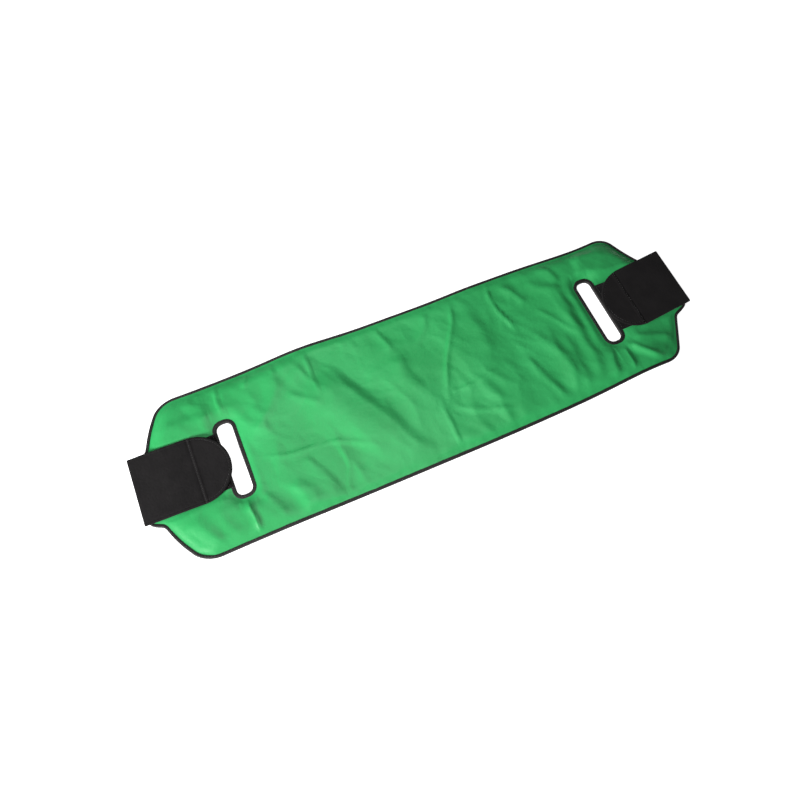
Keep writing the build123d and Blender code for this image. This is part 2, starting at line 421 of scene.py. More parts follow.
def beltGrid(sign, inset, slotGrowth, pitch=0.003):
    # points of one half of the body, column by column, and which faces to keep
    path = bodyPath(0.001)
    path = path + pathNormals(path) * inset
    upper = path[: len(path) // 2]
    order = np.argsort(upper[:, 0])
    endX = upper[:, 0].max()
    w, r = slotCut["width"] / 2 + slotGrowth, slotCut["radius"] + slotGrowth
    inner, outer = slotX - w, slotX + w
    corner = (1 - np.cos(np.linspace(0, math.pi / 2, 6))) * r
    plain = [
        np.linspace(0, inner, round(inner / pitch) + 1)[:-1],
        inner + corner,
        np.linspace(inner + r, outer - r, 4)[1:-1],
        outer - corner[::-1],
        np.linspace(outer, endX, round((endX - outer) / pitch) + 1)[1:],
    ]
    columns = np.concatenate(plain)
    inside, outside = 31, 22
    points = np.zeros((len(columns), 2 * outside + inside + 1, 2))
    for i, x in enumerate(columns):
        h = np.interp(x, upper[order, 0], upper[order, 1])
        s = min(slotHalf(x, slotGrowth), 0.86 * h)
        ys = np.r_[
            np.linspace(-h, -s, outside + 1)[:-1],
            np.linspace(-s, s, inside + 1)[:-1],
            np.linspace(s, h, outside + 1),
        ]
        points[i, :, 0] = sign * x
        points[i, :, 1] = ys
    middle = (columns[:-1] + columns[1:]) / 2
    inSlot = (middle > inner) & (middle < outer)
    keep = np.ones((len(columns) - 1, points.shape[1] - 1), bool)
    keep[np.ix_(inSlot, np.arange(outside, outside + inside))] = False
    return points, keep


def gridFaces(keep, rows):
    faces = []
    for i, j in np.argwhere(keep):
        a, b = int(i * rows + j), int((i + 1) * rows + j)
        faces.append((a, b, b + 1, a + 1))
    return faces


def dropLoose(points, faces, *more):
    used = np.unique(np.array([k for f in faces for k in f]))
    place = np.full(len(points), -1)
    place[used] = np.arange(len(used))
    return [points[used], [tuple(place[k] for k in f) for f in faces]] + [m[used] for m in more]


def slabSkins(top, bottom, keep=None):
    # upper and lower skin over the same grid, with walls round every edge
    rows, count = top.shape[1], top.shape[0] * top.shape[1]
    if keep is None:
        keep = np.ones((len(top) - 1, rows - 1), bool)
    upper = gridFaces(keep, rows)
    lower = [tuple(k + count for k in f[::-1]) for f in upper]
    edges = {(a, b) for f in upper for a, b in zip(f, f[1:] + f[:1])}
    walls = [(b, a, a + count, b + count) for a, b in sorted(edges) if (b, a) not in edges]
    return np.r_[top.reshape(-1, 3), bottom.reshape(-1, 3)], upper + lower + walls


def closedSlab(name, x, y, low, high, keep, material):
    points, faces = slabSkins(np.dstack([x, y, high]), np.dstack([x, y, low]), keep)
    points, faces, uv = dropLoose(points, faces, points[:, :2])
    return outward(makeMesh(name, points, faces, material, uv))


coverCloth = {
    "frames": 34,
    "excess": 0.013,         # how much wider than its outline the cloth is, at most
    "tightest": 0.006,
    "mass": 0.12, "gravity": 0.6,
    "stiffness": {"tension": 12, "compression": 12, "shear": 6, "bending": 2.5},
    "padTop": 0.0046,        # m, where the padding stops the cloth
    "padFriction": 8,
    "pinned": 0.006,         # m, sewn down this far in from an edge
    "mostMove": 0.0028, "mostSink": 0.0019,
}


def simulateCover(shape, keep):
    # the sewn cover has a little more cloth than its outline, so it buckles over the padding
    v = coverCloth
    scene = bpy.context.scene
    rows = shape.shape[1]
    x, y, z = (shape[..., k].ravel() for k in range(3))
    lift = liftAt(x, y)
    points = np.c_[x, y, z - lift]
    faces = gridFaces(keep, rows)
    used = np.unique(np.array(faces))
    cloth = makeMesh("coverCloth", *dropLoose(points, faces), looks["greenCloth"])
    rim = np.minimum(edgeDistance(x, y), np.maximum(slotDistance(x, y), 0))
    strap = (np.abs(x) > 0.318) & (np.abs(y - 0.002) < 0.052)
    pins = cloth.vertex_groups.new(name="sewn")
    for k in np.flatnonzero((rim < v["pinned"])[used] | strap[used]):
        pins.add([int(k)], 1.0, "REPLACE")
    under = makeMesh("paddingTop", flatSquare(0.5, 0.2, v["padTop"]), [(0, 1, 2, 3)], looks["foamCell"])
    under.modifiers.new("hold", "COLLISION")
    under.collision.thickness_outer = 0.0004
    under.collision.cloth_friction = v["padFriction"]
    sim = cloth.modifiers.new("cloth", "CLOTH")
    settings = sim.settings
    settings.quality = 6
    settings.mass = v["mass"]
    for kind, stiff in v["stiffness"].items():
        setattr(settings, f"{kind}_stiffness", stiff)
    settings.shrink_min = -v["excess"]
    settings.shrink_max = v["tightest"]
    full = cloth.vertex_groups.new(name="fullness")
    share = np.clip(0.45 + 1.3 * cloudy(x, y, 0.045, 2.5), 0, 1)[used]
    for k, weight in enumerate(share):
        full.add([k], float(weight), "REPLACE")
    settings.vertex_group_shrink = "fullness"
    settings.vertex_group_mass = "sewn"
    settings.effector_weights.gravity = v["gravity"]
    sim.collision_settings.distance_min = 0.0006
    sim.collision_settings.collision_quality = 2
    scene.frame_start, scene.frame_end = 1, v["frames"]
    sim.point_cache.frame_end = v["frames"]
    for number in range(1, v["frames"] + 1):
        scene.frame_set(number)
    seen = cloth.evaluated_get(bpy.context.evaluated_depsgraph_get())
    co = np.zeros(len(seen.data.vertices) * 3)
    seen.data.vertices.foreach_get("co", co)
    moved = points.copy()
    moved[used] = co.reshape(-1, 3)
    step = np.clip(moved - points, -v["mostMove"], v["mostMove"])
    step[:, 2] = np.maximum(step[:, 2], -v["mostSink"])
    print("cover cloth moved by up to", round(float(np.abs(step).max()) * 1000, 2), "mm")
    scene.frame_set(1)
    for done in (cloth, under):
        bpy.data.objects.remove(done)
    step = step.reshape(shape.shape)
    # soften single rows of points, which follow the grid and not the cloth
    for axis in (0, 1, 0, 1, 0):
        padded = np.concatenate([step.take([0], axis), step, step.take([-1], axis)], axis)
        count = step.shape[axis]
        near = [padded.take(range(k, k + count), axis) for k in range(3)]
        step = (near[0] + 2 * near[1] + near[2]) / 4
    free = smooth((rim - v["pinned"]) / 0.010) * ~strap
    return shape + step * free.reshape(shape.shape[:2])[..., None]


def coverShape(values):
    # the front cover from end to end, as one grid
    halves = {side: beltGrid(sign, values["edgeInset"], values["slotGrowth"]) for side, sign in ends.items()}
    flat = np.r_[halves["left"][0][::-1], halves["right"][0][1:]]
    keep = np.r_[halves["left"][1][::-1], halves["right"][1]]
    x, y = flat[..., 0], flat[..., 1]
    folded = coverAt(x, y)
    shape = np.dstack([x, y, folded])
    start = liftAt(x, y) + padAt(x, y) + 0.2 * (folded - liftAt(x, y) - padAt(x, y))
    shape = simulateCover(np.dstack([x, y, start]), keep)
    shape[..., 2] += folded - start
    lowest = liftAt(x, y) + padAt(x, y) - 0.0012
    shape[..., 2] = np.maximum(shape[..., 2], lowest)
    middle = len(halves["left"][0]) - 1
    return {
        "left": (shape[: middle + 1], keep[:middle]),
        "right": (shape[middle:], keep[middle:]),
    }


def thinPiece(name, shape, keep, material, thickness):
    # thin closed cloth
    x, y, z = (shape[..., k] for k in range(3))
    return closedSlab(name, x, y, z - thickness, z, keep, material)


def paddedPiece(name, sign, material, values):
    # foam between cover and lining
    flat, keep = beltGrid(sign, values["edgeInset"] + 0.001, values["slotGrowth"] + 0.001, 0.006)
    x, y = flat[..., 0], flat[..., 1]
    # the foam stays clear of the cover, also in its hollows
    top = np.minimum(liftAt(x, y) + padAt(x, y) - 0.0027, coverAt(x, y) - 0.0029)
    bottom = liningAt(x, y) + 0.0004
    return closedSlab(name, x, y, bottom, np.maximum(top, bottom + 0.0008), keep, material)


# swept pieces: bindings and threads
def ridePiece(piece, body, slotName, *nodes):
    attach(piece, body)
    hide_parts(*nodes)


def sweepSection(name, path, inwards, sectionAt, material, closed):
    # a closed cross section carried along a path; sectionAt gives (distance in, height) pairs
    rings, lengths = [], []
    run = 0.0
    for i, (spot, normal) in enumerate(zip(path, inwards)):
        ring = [(spot[0] + normal[0] * d, spot[1] + normal[1] * d, z) for d, z in sectionAt(i)]
        rings.append(ring)
        lengths.append(run)
        if i + 1 < len(path):
            run += math.dist(path[i], path[i + 1])
    size = len(rings[0])
    points = [p for ring in rings for p in ring]
    uv = [(lengths[i], k / size * 0.016) for i in range(len(rings)) for k in range(size)]
    faces = []
    for i in range(len(rings) if closed else len(rings) - 1):
        a, b = i * size, ((i + 1) % len(rings)) * size
        faces += [(a + k, a + (k + 1) % size, b + (k + 1) % size, b + k) for k in range(size)]
    if not closed:
        faces += [tuple(range(size)), tuple((len(rings) - 1) * size + k for k in range(size))]
    return outward(makeMesh(name, points, faces, material, uv))


def tapeSection(lip, thickness, low, high, bulge=0.0006):
    # folded tape: outer skin from the upper lip round the edge to the lower lip, and back inside
    mid, half = (low + high) / 2, (high - low) / 2
    outer = [(lip, high - 0.0003), (lip * 0.72, high), (lip * 0.4, high + bulge * 0.3)]
    for i in range(7):
        a = math.pi / 2 - math.pi * i / 6
        outer.append((half * 0.62 * (1 - math.cos(a)), mid + (half + bulge * 0.2) * math.sin(a)))
    outer += [(lip * 0.4, low), (lip * 0.72, low), (lip, low + 0.0003)]
    inner = [
        (lip, low + 0.0003 + thickness), (lip * 0.5, low + thickness),
        (half * 0.62 + thickness, low + thickness * 1.2), (thickness, mid),
        (half * 0.62 + thickness, high - thickness * 1.2), (lip * 0.5, high - thickness),
        (lip, high - 0.0003 - thickness),
    ]
    return outer + inner


def tubeFaces(base, rings, size):
    # walls between rings of points, with a cap at each end
    last = base + (rings - 1) * size
    faces = [tuple(range(base, base + size))[::-1], tuple(range(last, last + size))]
    for start in range(base, last, size):
        for k in range(size):
            a, b = start + k, start + (k + 1) % size
            faces.append((a, b, b + size, a + size))
    return faces


# along a stitch: place, share of its radius, and rise
stitchRings = [(-0.5, 0.35, -0.6), (-0.32, 1.0, 0.25), (0.0, 1.1, 0.5), (0.32, 1.0, 0.25), (0.5, 0.35, -0.6)]


def threadRow(name, spots, directions, material, length=0.0026, radius=0.00028):
    # short rounded stitches, all in one mesh
    points, faces = [], []
    for spot, ahead in zip(spots, directions):
        ahead = Vector(ahead).normalized()
        side = ahead.cross(Vector((0, 0, 1))).normalized()
        up = side.cross(ahead)
        faces += tubeFaces(len(points), len(stitchRings), 6)
        for t, swell, rise in stitchRings:
            centre = Vector(spot) + ahead * (length * t) + up * (radius * rise)
            for k in range(6):
                a, reach = math.tau * k / 6, radius * swell
                points.append(centre + side * (math.cos(a) * reach) + up * (math.sin(a) * reach))
    return outward(makeMesh(name, points, faces, material))


# materials
def newMaterial(name):
    material = bpy.data.materials.new(name)
    material.use_nodes = True
    nodes, links = material.node_tree.nodes, material.node_tree.links
    nodes.clear()
    out = nodes.new("ShaderNodeOutputMaterial")
    shader = nodes.new("ShaderNodeBsdfPrincipled")
    links.new(shader.outputs["BSDF"], out.inputs["Surface"])
    return material, nodes, links, shader


def setInputs(node, **values):
    for name, value in values.items():
        node.inputs[name.replace("_", " ")].default_value = value


def rampNode(nodes, stops):
    ramp = nodes.new("ShaderNodeValToRGB")
    for element, (place, colour) in zip(ramp.color_ramp.elements, stops):
        element.position = place
        element.color = (*colour, 1)
    return ramp


def wovenHeight(nodes, links, place, pitch):
    # plain weave: two sets of fine waves, crossing
    waves = []
    for direction in ("X", "Y"):
        wave = nodes.new("ShaderNodeTexWave")
        wave.bands_direction = direction
        setInputs(wave, Scale=0.314 / pitch, Distortion=0.6, Detail=1.0)
        links.new(place, wave.inputs["Vector"])
        waves.append(wave)
    return mathNode(nodes, links, "MULTIPLY", *(wave.outputs["Fac"] for wave in waves))


def noiseNode(nodes, links, place, scale, detail, distortion=0.0):
    cloud = nodes.new("ShaderNodeTexNoise")
    setInputs(cloud, Scale=scale, Detail=detail, Distortion=distortion)
    links.new(place, cloud.inputs["Vector"])
    return cloud.outputs["Fac"]


def mathNode(nodes, links, operation, first, second=None):
    step = nodes.new("ShaderNodeMath")
    step.operation = operation
    links.new(first, step.inputs[0])
    if isinstance(second, float):
        step.inputs[1].default_value = second
    elif second is not None:
        links.new(second, step.inputs[1])
    return step.outputs["Value"]


def bumpNode(nodes, links, height, strength, distance, normal=None):
    bump = nodes.new("ShaderNodeBump")
    setInputs(bump, Strength=strength, Distance=distance)
    links.new(height, bump.inputs["Height"])
    if normal is not None:
        links.new(normal, bump.inputs["Normal"])
    return bump.outputs["Normal"]


def clothMaterial(name, values):
    # woven cloth: colour drifts softly, weave and small creases are in the bump
    material, nodes, links, shader = newMaterial(name)
    place = nodes.new("ShaderNodeTexCoord").outputs["Object"]
    ramp = rampNode(nodes, [(0.30, values["deep"]), (0.72, values["bright"])])
    links.new(noiseNode(nodes, links, place, values["driftScale"], 4.0), ramp.inputs["Fac"])
    weave = wovenHeight(nodes, links, place, values["pitch"])
    shade = nodes.new("ShaderNodeMix")
    shade.data_type = "RGBA"
    shade.blend_type = "MULTIPLY"
    setInputs(shade, Factor=values["weaveShade"])
    links.new(ramp.outputs["Color"], shade.inputs["A"])
    links.new(weave, shade.inputs["B"])
    links.new(shade.outputs["Result"], shader.inputs["Base Color"])
    fine = noiseNode(nodes, links, place, values["fineScale"], 5.0)
    rough = nodes.new("ShaderNodeMapRange")
    setInputs(rough, To_Min=values["rough"][0], To_Max=values["rough"][1])
    links.new(fine, rough.inputs["Value"])
    links.new(rough.outputs["Result"], shader.inputs["Roughness"])
    # keen wrinkles lie where a soft noise passes its middle value
    lines = noiseNode(nodes, links, place, values["lineScale"], 2.0, 0.7)
    keen = mathNode(nodes, links, "ABSOLUTE", mathNode(nodes, links, "SUBTRACT", lines, 0.5))
    wrinkle = bumpNode(nodes, links, keen, values["lineBump"], 0.010)
    coarse = bumpNode(nodes, links, fine, values["creaseBump"], 0.0006, wrinkle)
    links.new(bumpNode(nodes, links, weave, values["weaveBump"], 0.00012, coarse), shader.inputs["Normal"])
    setInputs(shader, Sheen_Weight=values["sheen"], Sheen_Roughness=0.4)
    setInputs(shader, Sheen_Tint=(*values["sheenTint"], 1), Specular_IOR_Level=values["specular"])
    return material


clothKeys = (
    "deep", "bright", "rough",                   # two colours, and how rough from and to
    "driftScale", "fineScale", "pitch", "weaveShade", "creaseBump", "weaveBump", "lineScale", "lineBump",
    "sheen", "sheenTint", "specular",
)
clothLooks = {
    "greenCloth": (
        (0.023, 0.330, 0.086), (0.033, 0.402, 0.114), (0.38, 0.48),
        9.0, 170.0, 0.0007, 0.22, 0.42, 0.30, 15.0, 0.14, 0.07, (0.35, 1.0, 0.5), 0.33,
    ),
    "liningCloth": (
        (0.022, 0.270, 0.080), (0.034, 0.340, 0.108), (0.60, 0.75),
        7.0, 90.0, 0.0009, 0.25, 0.3, 0.45, 20.0, 0.1, 0.2, (0.5, 1.0, 0.6), 0.3,
    ),
    "bindingTape": (
        (0.0065, 0.0055, 0.0055), (0.013, 0.011, 0.0108), (0.55, 0.72),
        40.0, 400.0, 0.0008, 0.35, 0.3, 0.6, 20.0, 0.1, 0.08, (0.9, 0.85, 0.82), 0.35,
    ),
    "strapCloth": (
        (0.0048, 0.0040, 0.0043), (0.0092, 0.0079, 0.0083), (0.78, 0.95),
        45.0, 320.0, 0.0011, 0.30, 0.8, 0.7, 20.0, 0.1, 0.10, (0.9, 0.88, 0.9), 0.2,
    ),
    "loopPile": (
        (0.006, 0.0055, 0.006), (0.012, 0.011, 0.0115), (0.9, 1.0),
        60.0, 900.0, 0.0010, 0.4, 0.9, 0.6, 20.0, 0.1, 0.25, (0.9, 0.9, 0.9), 0.1,
    ),
    "hookTape": (
        (0.007, 0.0065, 0.007), (0.014, 0.013, 0.0135), (0.42, 0.55),
        50.0, 600.0, 0.0015, 0.3, 0.5, 0.7, 20.0, 0.1, 0.02, (1, 1, 1), 0.5,
    ),
    "sewingThread": (
        (0.010, 0.009, 0.009), (0.022, 0.020, 0.020), (0.40, 0.55),
        80.0, 1500.0, 0.0003, 0.3, 0.3, 0.4, 20.0, 0.1, 0.05, (1, 1, 1), 0.5,
    ),
    "foamCell": (
        (0.55, 0.55, 0.52), (0.68, 0.68, 0.65), (0.85, 0.95),
        30.0, 700.0, 0.0012, 0.1, 0.9, 0.2, 20.0, 0.1, 0.0, (1, 1, 1), 0.2,
    ),
    "stiffener": (
        (0.62, 0.62, 0.60), (0.70, 0.70, 0.68), (0.45, 0.55),
        20.0, 300.0, 0.002, 0.05, 0.2, 0.1, 20.0, 0.1, 0.0, (1, 1, 1), 0.4,
    ),
}
looks = {name: clothMaterial(name, dict(zip(clothKeys, row))) for name, row in clothLooks.items()}
print("materials made")

# camera, floor and light
cameraValues = {
    "azimuth": -24.441, "elevation": 69.0, "roll": 0.923,     # degrees
    "distance": 0.88288, "target": (-0.045995, -0.011308, 0.0), "lens": 27.0,
}
studioValues = {
    "floorSize": 40.0, "floorHeight": -0.0002, "floorColour": (0.97, 0.97, 0.97, 1), "floorGlow": 0.85,
    "skyLight": 0.08,
    # place, the point it faces, its side and its power
    "keyLight": ((-2.0, -0.8, 0.80), (-0.1, 0, 0), 0.52, 111),
    "fillLight": ((-0.10, 0.0, 0.56), (-0.10, 0, 0), 0.5, 2.15),
}


def placeCamera():
    v = cameraValues
    az, el, roll = (math.radians(v[k]) for k in ("azimuth", "elevation", "roll"))
    back = Vector((math.sin(az) * math.cos(el), -math.cos(az) * math.cos(el), math.sin(el)))
    right = Vector((math.cos(az), math.sin(az), 0))
    up = back.cross(right)
    turnedRight = right * math.cos(roll) + up * math.sin(roll)
    turnedUp = up * math.cos(roll) - right * math.sin(roll)
    data = bpy.data.cameras.new("camera")
    data.lens = v["lens"]
    data.sensor_width = 36
    data.clip_start = 0.01
    camera = bpy.data.objects.new("camera", data)
    turn = Matrix((turnedRight, turnedUp, back)).transposed().to_4x4()
    camera.matrix_world = Matrix.Translation(Vector(v["target"]) + back * v["distance"]) @ turn
    bpy.context.scene.collection.objects.link(camera)
    bpy.context.scene.camera = camera


def placeFloor():
    v = studioValues
    material, nodes, links, shader = newMaterial("paleFloor")
    setInputs(shader, Base_Color=v["floorColour"], Roughness=0.9, Specular_IOR_Level=0.1)
    setInputs(shader, Emission_Color=(1, 1, 1, 1), Emission_Strength=v["floorGlow"])
    corners = flatSquare(v["floorSize"], v["floorSize"], v["floorHeight"])
    floor = makeMesh("floor", corners, [(0, 1, 2, 3)], material)


def placeLight(name, place, target, size, power):
    data = bpy.data.lights.new(name, "AREA")
    data.shape = "SQUARE"
    data.size = size
    data.energy = power
    lamp = bpy.data.objects.new(name, data)
    lamp.location = place
    lamp.rotation_euler = (Vector(target) - Vector(place)).to_track_quat("-Z", "Y").to_euler()
    bpy.context.scene.collection.objects.link(lamp)


def placeStudio():
    world = bpy.data.worlds.new("studio")
    world.use_nodes = True
    setInputs(world.node_tree.nodes["Background"], Color=(1, 1, 1, 1), Strength=studioValues["skyLight"])
    bpy.context.scene.world = world
    for name in ("keyLight", "fillLight"):
        placeLight(name, *studioValues[name])
    bpy.context.scene.view_settings.view_transform = "Standard"
    bpy.context.scene.view_settings.look = "None"


placeCamera()
placeFloor()
placeStudio()
print("camera, floor and light placed")

# padded body
bodySheets = {"edgeInset": 0.0016, "slotGrowth": 0.0016, "clothThickness": 0.0005, "liningThickness": 0.0003}


def bendAtCrease(piece):
    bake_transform(piece)


def makeBody(side):
    sign, v = ends[side], bodySheets
    cover = thinPiece(f"frontCover_{side}", *covers[side], looks["greenCloth"], v["clothThickness"])
    flat, keep = beltGrid(sign, v["edgeInset"], v["slotGrowth"])
    under = np.dstack([flat, liningAt(flat[..., 0], flat[..., 1])])
    lining = thinPiece(f"backLining_{side}", under, keep, looks["liningCloth"], v["liningThickness"])
    pad = paddedPiece(f"foamPad_{side}", sign, looks["foamCell"], v)
    panels = {"left": ["left", "centre"], "right": ["right"]}[side]
    for piece, node, slotName in (
        (cover, "front_cover", "green_cloth"), (lining, "back_lining", "lining_cloth"), (pad, "foam_core", "foam")
    ):
        bendAtCrease(settle(piece))
        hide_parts(*[f"{node}_{panel}" for panel in panels])
    flat = (bodyCut["neckEndX"], 2 * halfWidth)


covers = coverShape(bodySheets)
for side in ends:
    makeBody(side)
print("padded body made")

# binding tape
bindingValues = {
    "lip": 0.0046, "slotLip": 0.0060,            # m, how far the tape reaches in from an edge
    "tape": 0.0006,
    "stitchIn": 0.0032, "slotStitchIn": 0.0045, "stitchPitch": 0.0042,
}


def rimHeights(x, y):
    low = liftAt(x, y) + 0.0001
    return low, low + lieValues["rimThickness"] * mm + 0.0004


def makeEdgeBinding(side):
    sign, v = ends[side], bindingValues
    path = bodyPath(0.0025)
    inwards = pathNormals(path)
    path[:, 0] *= sign
    inwards[:, 0] *= sign
    low, high = rimHeights(path[:, 0], path[:, 1])
    wobble = 0.00018 * cloudy(path[:, 0], path[:, 1], 0.012, 2.2)
    strap = smooth((np.abs(path[:, 0]) - 0.398) / 0.01) * smooth((0.06 - np.abs(path[:, 1])) / 0.004)
    high = high + wobble * (1 - strap)

    def section(i):
        return tapeSection(v["lip"] + 1.5 * wobble[i], v["tape"], low[i], high[i])

    tape = sweepSection(f"edgeBinding_{side}", path, inwards, section, looks["bindingTape"], False)
    bendAtCrease(settle(tape))
    run = {"left": "top", "right": "bottom"}[side]
    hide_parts(f"edge_binding_{side}", f"edge_binding_{run}")
    seam = bodyPath(v["stitchPitch"])
    inSeam = pathNormals(seam)
    ahead = np.c_[-inSeam[:, 1], inSeam[:, 0]]
    seam = seam + inSeam * v["stitchIn"]
    for line in (seam, ahead):
        line[:, 0] *= sign
    highSeam = rimHeights(seam[:, 0], seam[:, 1])[1]
    # no stitches show where the strap covers the neck
    shown = [i for i in range(1, len(seam) - 1) if not (abs(seam[i, 0]) > 0.400 and abs(seam[i, 1]) < 0.055)]
    spots = [(seam[i, 0], seam[i, 1], highSeam[i] + 0.00005) for i in shown]
    directions = [(ahead[i, 0], ahead[i, 1], 0) for i in shown]
    thread = threadRow(f"edgeBindingStitches_{side}", spots, directions, looks["sewingThread"])
    bendAtCrease(settle(thread))


def makeSlotBinding(side):
    sign, v = ends[side], bindingValues
    path = slotPath()
    inwards = -pathNormals(path, closed=True)
    path[:, 0] *= sign
    inwards[:, 0] *= sign
    low, high = rimHeights(path[:, 0], path[:, 1])
    wobble = 0.00015 * cloudy(path[:, 0], path[:, 1], 0.012, 6.2)
    high = np.minimum(high + 0.0002, bodyTop - 0.0002) + wobble

    def section(i):
        return tapeSection(v["slotLip"] + wobble[i], v["tape"], low[i], high[i])

    tape = sweepSection(f"slotBinding_{side}", path, inwards, section, looks["bindingTape"], True)
    ridePiece(tape, f"{side}_wing", "binding_tape", f"slot_binding_{side}")
    seam = slotPath(v["slotStitchIn"], v["stitchPitch"])
    normal = -pathNormals(seam, closed=True)
    seam[:, 0] *= sign
    normal[:, 0] *= sign
    top = float(np.max(high))
    spots = [(p[0], p[1], top + 0.00002) for p in seam]
    directions = [(-n[1], n[0], 0) for n in normal]
    thread = threadRow(f"slotBindingStitches_{side}", spots, directions, looks["sewingThread"])
    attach(thread, f"{side}_wing")


for side in ends:
    makeEdgeBinding(side)
    makeSlotBinding(side)
print("bindings sewn")

# loop patch, hook patch, strap and tab
strapValues = {
    "skew": {"left": 0.033, "right": 0.086},     # how far the folded flap leans off square
    "flapShift": {"left": 0.0011, "right": 0.0016},
    "tipReach": {"left": 0.0, "right": 0.002},   # how far past its drawn end each tab lies
    "hemIn": 0.0040,
    "rootNarrow": 0.985,
    "edgeReach": 0.0016, "edgeThin": 0.55,       # the hems thin out over this width, by this share
    "foldGap": 0.0002,
}
# distances in from a hem where a strap has a row of points
hemSteps = [0, 0.4, 0.9, 1.6, 2.6, 3.3, 3.7, 4.0, 4.3, 4.7, 5.4, 7.5, 10.5, 14, 18, 23, 28, 34, 40, 45, 50]


def strapAcross():
    # places across a strap from -1 to 1, close together at both hems
    half = 1 - np.array(hemSteps) / hemSteps[-1]
    return np.r_[-half, half[-2::-1]]


def leanAt(side, strap, x):
    # how far sideways the folded flap and its tab lie at x
    v = strapValues
    return v["skew"][side] * (x - (strap["foldX"] + strap["seamX"]) / 2) + v["flapShift"][side]


def bell(distance, width):
    return math.exp(-(distance / width) ** 2)


def halfChord(x, centreX, radius):
    # half the width, at x, of a piece with a round end
    return math.sqrt(max(1e-8, radius ** 2 - min(0.0, x - centreX) ** 2))


def skinnedPiece(name, top, bottom, size, material, uv=None):
    points, faces = slabSkins(*(np.array(skin).reshape(*size, 3) for skin in (top, bottom)))
    uv = points[:, :2] if uv is None else np.r_[uv, uv]
    return outward(makeMesh(name, points, faces, material, uv))


def makeStrap(side):
    sign, v = ends[side], strapValues
    root, fold, flap = (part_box(f"strap_{part}_{side}") for part in ("root", "fold", "flap"))
    joint = next(j for j in frame["joints"] if j["name"] == f"{side}_strap_fold")
    foldX, foldZ = abs(joint["pos_m"][0]), joint["pos_m"][2]
    width, centreY = root[1].y - root[0].y, (root[1].y + root[0].y) / 2
    rootStart = min(abs(root[0].x), abs(root[1].x))
    seamX = min(abs(flap[0].x), abs(flap[1].x))
    outerR, innerR = foldZ - fold[0].z, v["foldGap"]
    midR, half = (outerR + innerR) / 2, (outerR - innerR) / 2
    strap = {
        "seamX": seamX, "foldX": foldX, "centreY": centreY, "width": width,
        "top": foldZ + outerR, "bottom": foldZ + innerR,
    }
    # centre line of the strap, from the root's start round the fold to the seam
    line = [(x, foldZ - midR, 0.0, -1.0) for x in np.linspace(rootStart, foldX, 14)]
    for i in range(1, 12):
        a = math.pi * i / 12
        line.append((foldX + midR * math.sin(a), foldZ - midR * math.cos(a), math.sin(a), -math.cos(a)))
    flapColumns = 34
    line += [(x, foldZ + midR, 0.0, 1.0) for x in np.linspace(foldX, seamX, flapColumns)]
    across = strapAcross() * width / 2
    outer, inner, uv, run = [], [], [], 0.0
    for i, (x, z, nx, nz) in enumerate(line):
        if i:
            run += math.dist(line[i - 1][:2], (x, z))
        flat = i > len(line) - flapColumns
        free = math.sin(math.pi * min(1, max(0, (foldX - x) / (foldX - seamX))))
        onFlap = ease((z - foldZ + midR) / (2 * midR))
        narrow = v["rootNarrow"] + (1 - v["rootNarrow"]) * onFlap
        for y in across:
            edgeGap = width / 2 - abs(y)
            thick = half * (1 - v["edgeThin"] * (1 - ease(edgeGap / v["edgeReach"])))
            soft = noise.noise(Vector((x / 0.045, y / 0.030, 3.0 + sign)))
            soft += 0.4 * noise.noise(Vector((x / 0.014, y / 0.014, 6.0)))
            crown = 0.0
            if flat:
                crown = free * (0.0005 + 0.0006 * soft) - 0.0003 * bell(edgeGap - v["hemIn"], 0.0006)
                crown -= 0.0004 * bell(x - seamX, 0.0012)
            yy = y * narrow + centreY + leanAt(side, strap, x)
            outer.append((sign * (x + nx * thick), yy, z + nz * thick + crown))
            under = z - nz * thick + crown
            if flat:
                # the flap stays above the hinge, so that it turns as one
                under = max(under, strap["bottom"] + 0.00005)
            inner.append((sign * (x - nx * thick), yy, under))
            uv.append((run, y))
    piece = skinnedPiece(f"strap_{side}", outer, inner, (len(line), len(across)), looks["strapCloth"], uv)
    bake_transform(piece)
    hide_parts(f"strap_root_{side}", f"strap_fold_{side}", f"strap_flap_{side}")
    return strap


tabValues = {
    "seamSteps": (0.0, 0.6, 1.2, 2.0, 2.8, 3.6, 4.4, 5.4),    # mm, extra columns next to the seam
    "rimRound": 0.0015,
    "tipRise": 0.00036,      # m, the free end stands off the patch
    "stitch": (0.0028, 0.00026),                 # length and radius
}


